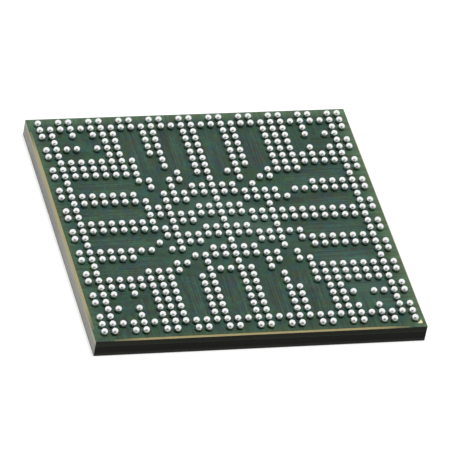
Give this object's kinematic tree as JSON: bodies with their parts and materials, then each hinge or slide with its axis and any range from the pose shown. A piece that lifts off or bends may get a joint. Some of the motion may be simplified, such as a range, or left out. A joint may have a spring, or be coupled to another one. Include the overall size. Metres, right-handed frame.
{
  "type": "ball grid array chip",
  "caption": "Moulded flip-chip package on a square laminate board, with a grid of solder balls on its face for reflow to a circuit board.",
  "frame": {"origin": "centre of the flat marking face of the mould cap, on which the part lies", "axes": "+Z out of the package through the solder balls; +X and +Y along its square edges, with ball A1 in the corner towards +X and -Y and the ball numbers counting up towards +Y"},
  "size_m": [0.016, 0.016, 0.0012],
  "materials": {
    "mold_compound": "sawn black moulding compound",
    "silicon": "ground silicon",
    "copper": "plated copper",
    "underfill_resin": "cured resin",
    "solder_mask": "satin green solder mask",
    "laminate": "sawn glass-epoxy laminate",
    "gold_finish": "gold-plated copper",
    "solder": "bright reflowed solder"
  },
  "bodies": {
    "root": {"mold_cap": "mold_compound", "silicon_die": "silicon", "die_bumps": "copper", "underfill": "underfill_resin", "die_side_lands": "copper", "die_side_mask": "solder_mask", "laminate_core": "laminate", "ball_lands": "copper", "channel_traces": "copper", "pin_one_mark": "gold_finish", "ball_side_mask": "solder_mask", "ball_row_a": "solder", "ball_row_b": "solder", "ball_row_c": "solder", "ball_row_d": "solder", "ball_row_e": "solder", "ball_row_f": "solder", "ball_row_g": "solder", "ball_row_h": "solder", "ball_row_j": "solder", "ball_row_k": "solder", "ball_row_l": "solder", "ball_row_m": "solder", "ball_row_n": "solder", "ball_row_p": "solder", "ball_row_r": "solder", "ball_row_t": "solder", "ball_row_u": "solder", "ball_row_v": "solder", "ball_row_w": "solder", "ball_row_y": "solder", "ball_row_aa": "solder", "ball_row_ab": "solder", "ball_row_ac": "solder", "ball_row_ad": "solder", "ball_row_ae": "solder", "ball_row_af": "solder", "ball_row_ag": "solder", "ball_row_ah": "solder", "ball_row_aj": "solder", "ball_row_ak": "solder", "ball_row_al": "solder"}
  },
  "joints": []
}
